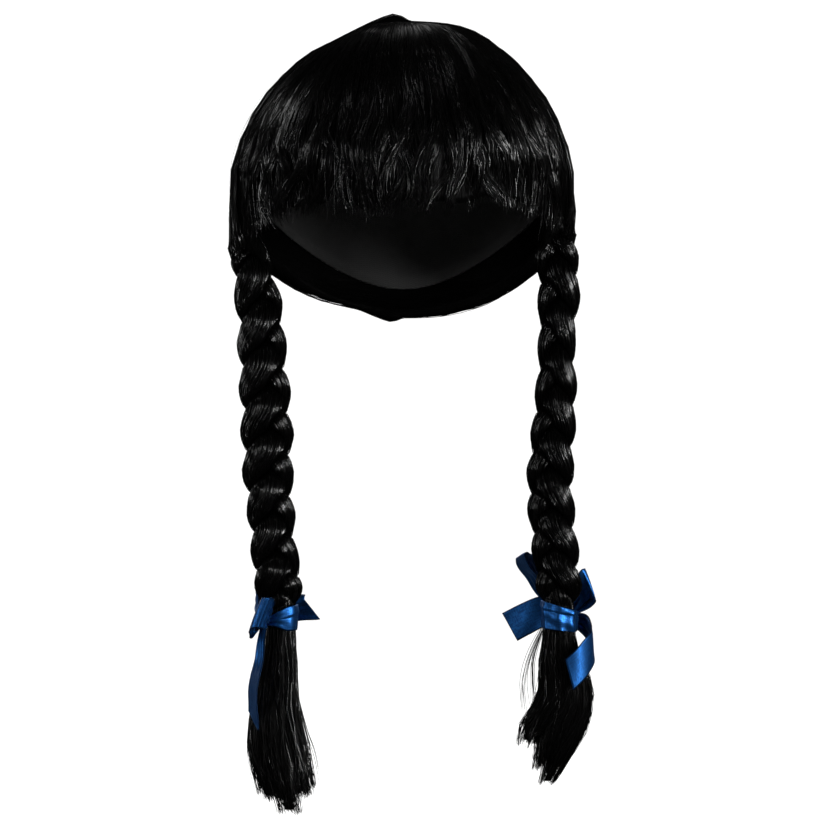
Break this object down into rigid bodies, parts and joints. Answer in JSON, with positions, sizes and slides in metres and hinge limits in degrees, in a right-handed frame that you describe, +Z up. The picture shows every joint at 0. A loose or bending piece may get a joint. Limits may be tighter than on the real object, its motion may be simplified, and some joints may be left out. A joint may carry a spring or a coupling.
{
  "type": "braided wig",
  "caption": "Black wig with a full fringe, a centre parting and side plaits, each tied off with a satin ribbon bow above a loose brush of hair.",
  "frame": {"origin": "the point inside the cap where the top of the head rests", "axes": "+Z up along the head and the hanging plaits; the face looks along -Y; +X is the wearer's left"},
  "size_m": [0.1838, 0.204, 0.3955],
  "materials": {
    "hair": "glossy black synthetic hair",
    "cap_net": "matt black net",
    "ribbon": "royal blue satin"
  },
  "bodies": {
    "root": {"wig_cap": "cap_net", "fringe": "hair", "crown_hair_right": "hair", "crown_hair_left": "hair", "plait_right_strand_1": "hair", "plait_right_strand_2": "hair", "plait_right_strand_3": "hair", "plait_left_strand_1": "hair", "plait_left_strand_2": "hair", "plait_left_strand_3": "hair", "tail_right": "hair", "tail_left": "hair", "ribbon_right_wrap": "ribbon", "ribbon_right_knot": "ribbon", "ribbon_right_loop_front": "ribbon", "ribbon_right_loop_back": "ribbon", "ribbon_right_end_outer": "ribbon", "ribbon_right_end_inner": "ribbon", "ribbon_left_wrap": "ribbon", "ribbon_left_knot": "ribbon", "ribbon_left_loop_inner": "ribbon", "ribbon_left_loop_outer": "ribbon", "ribbon_left_end_inner": "ribbon", "ribbon_left_end_outer": "ribbon"}
  },
  "joints": []
}
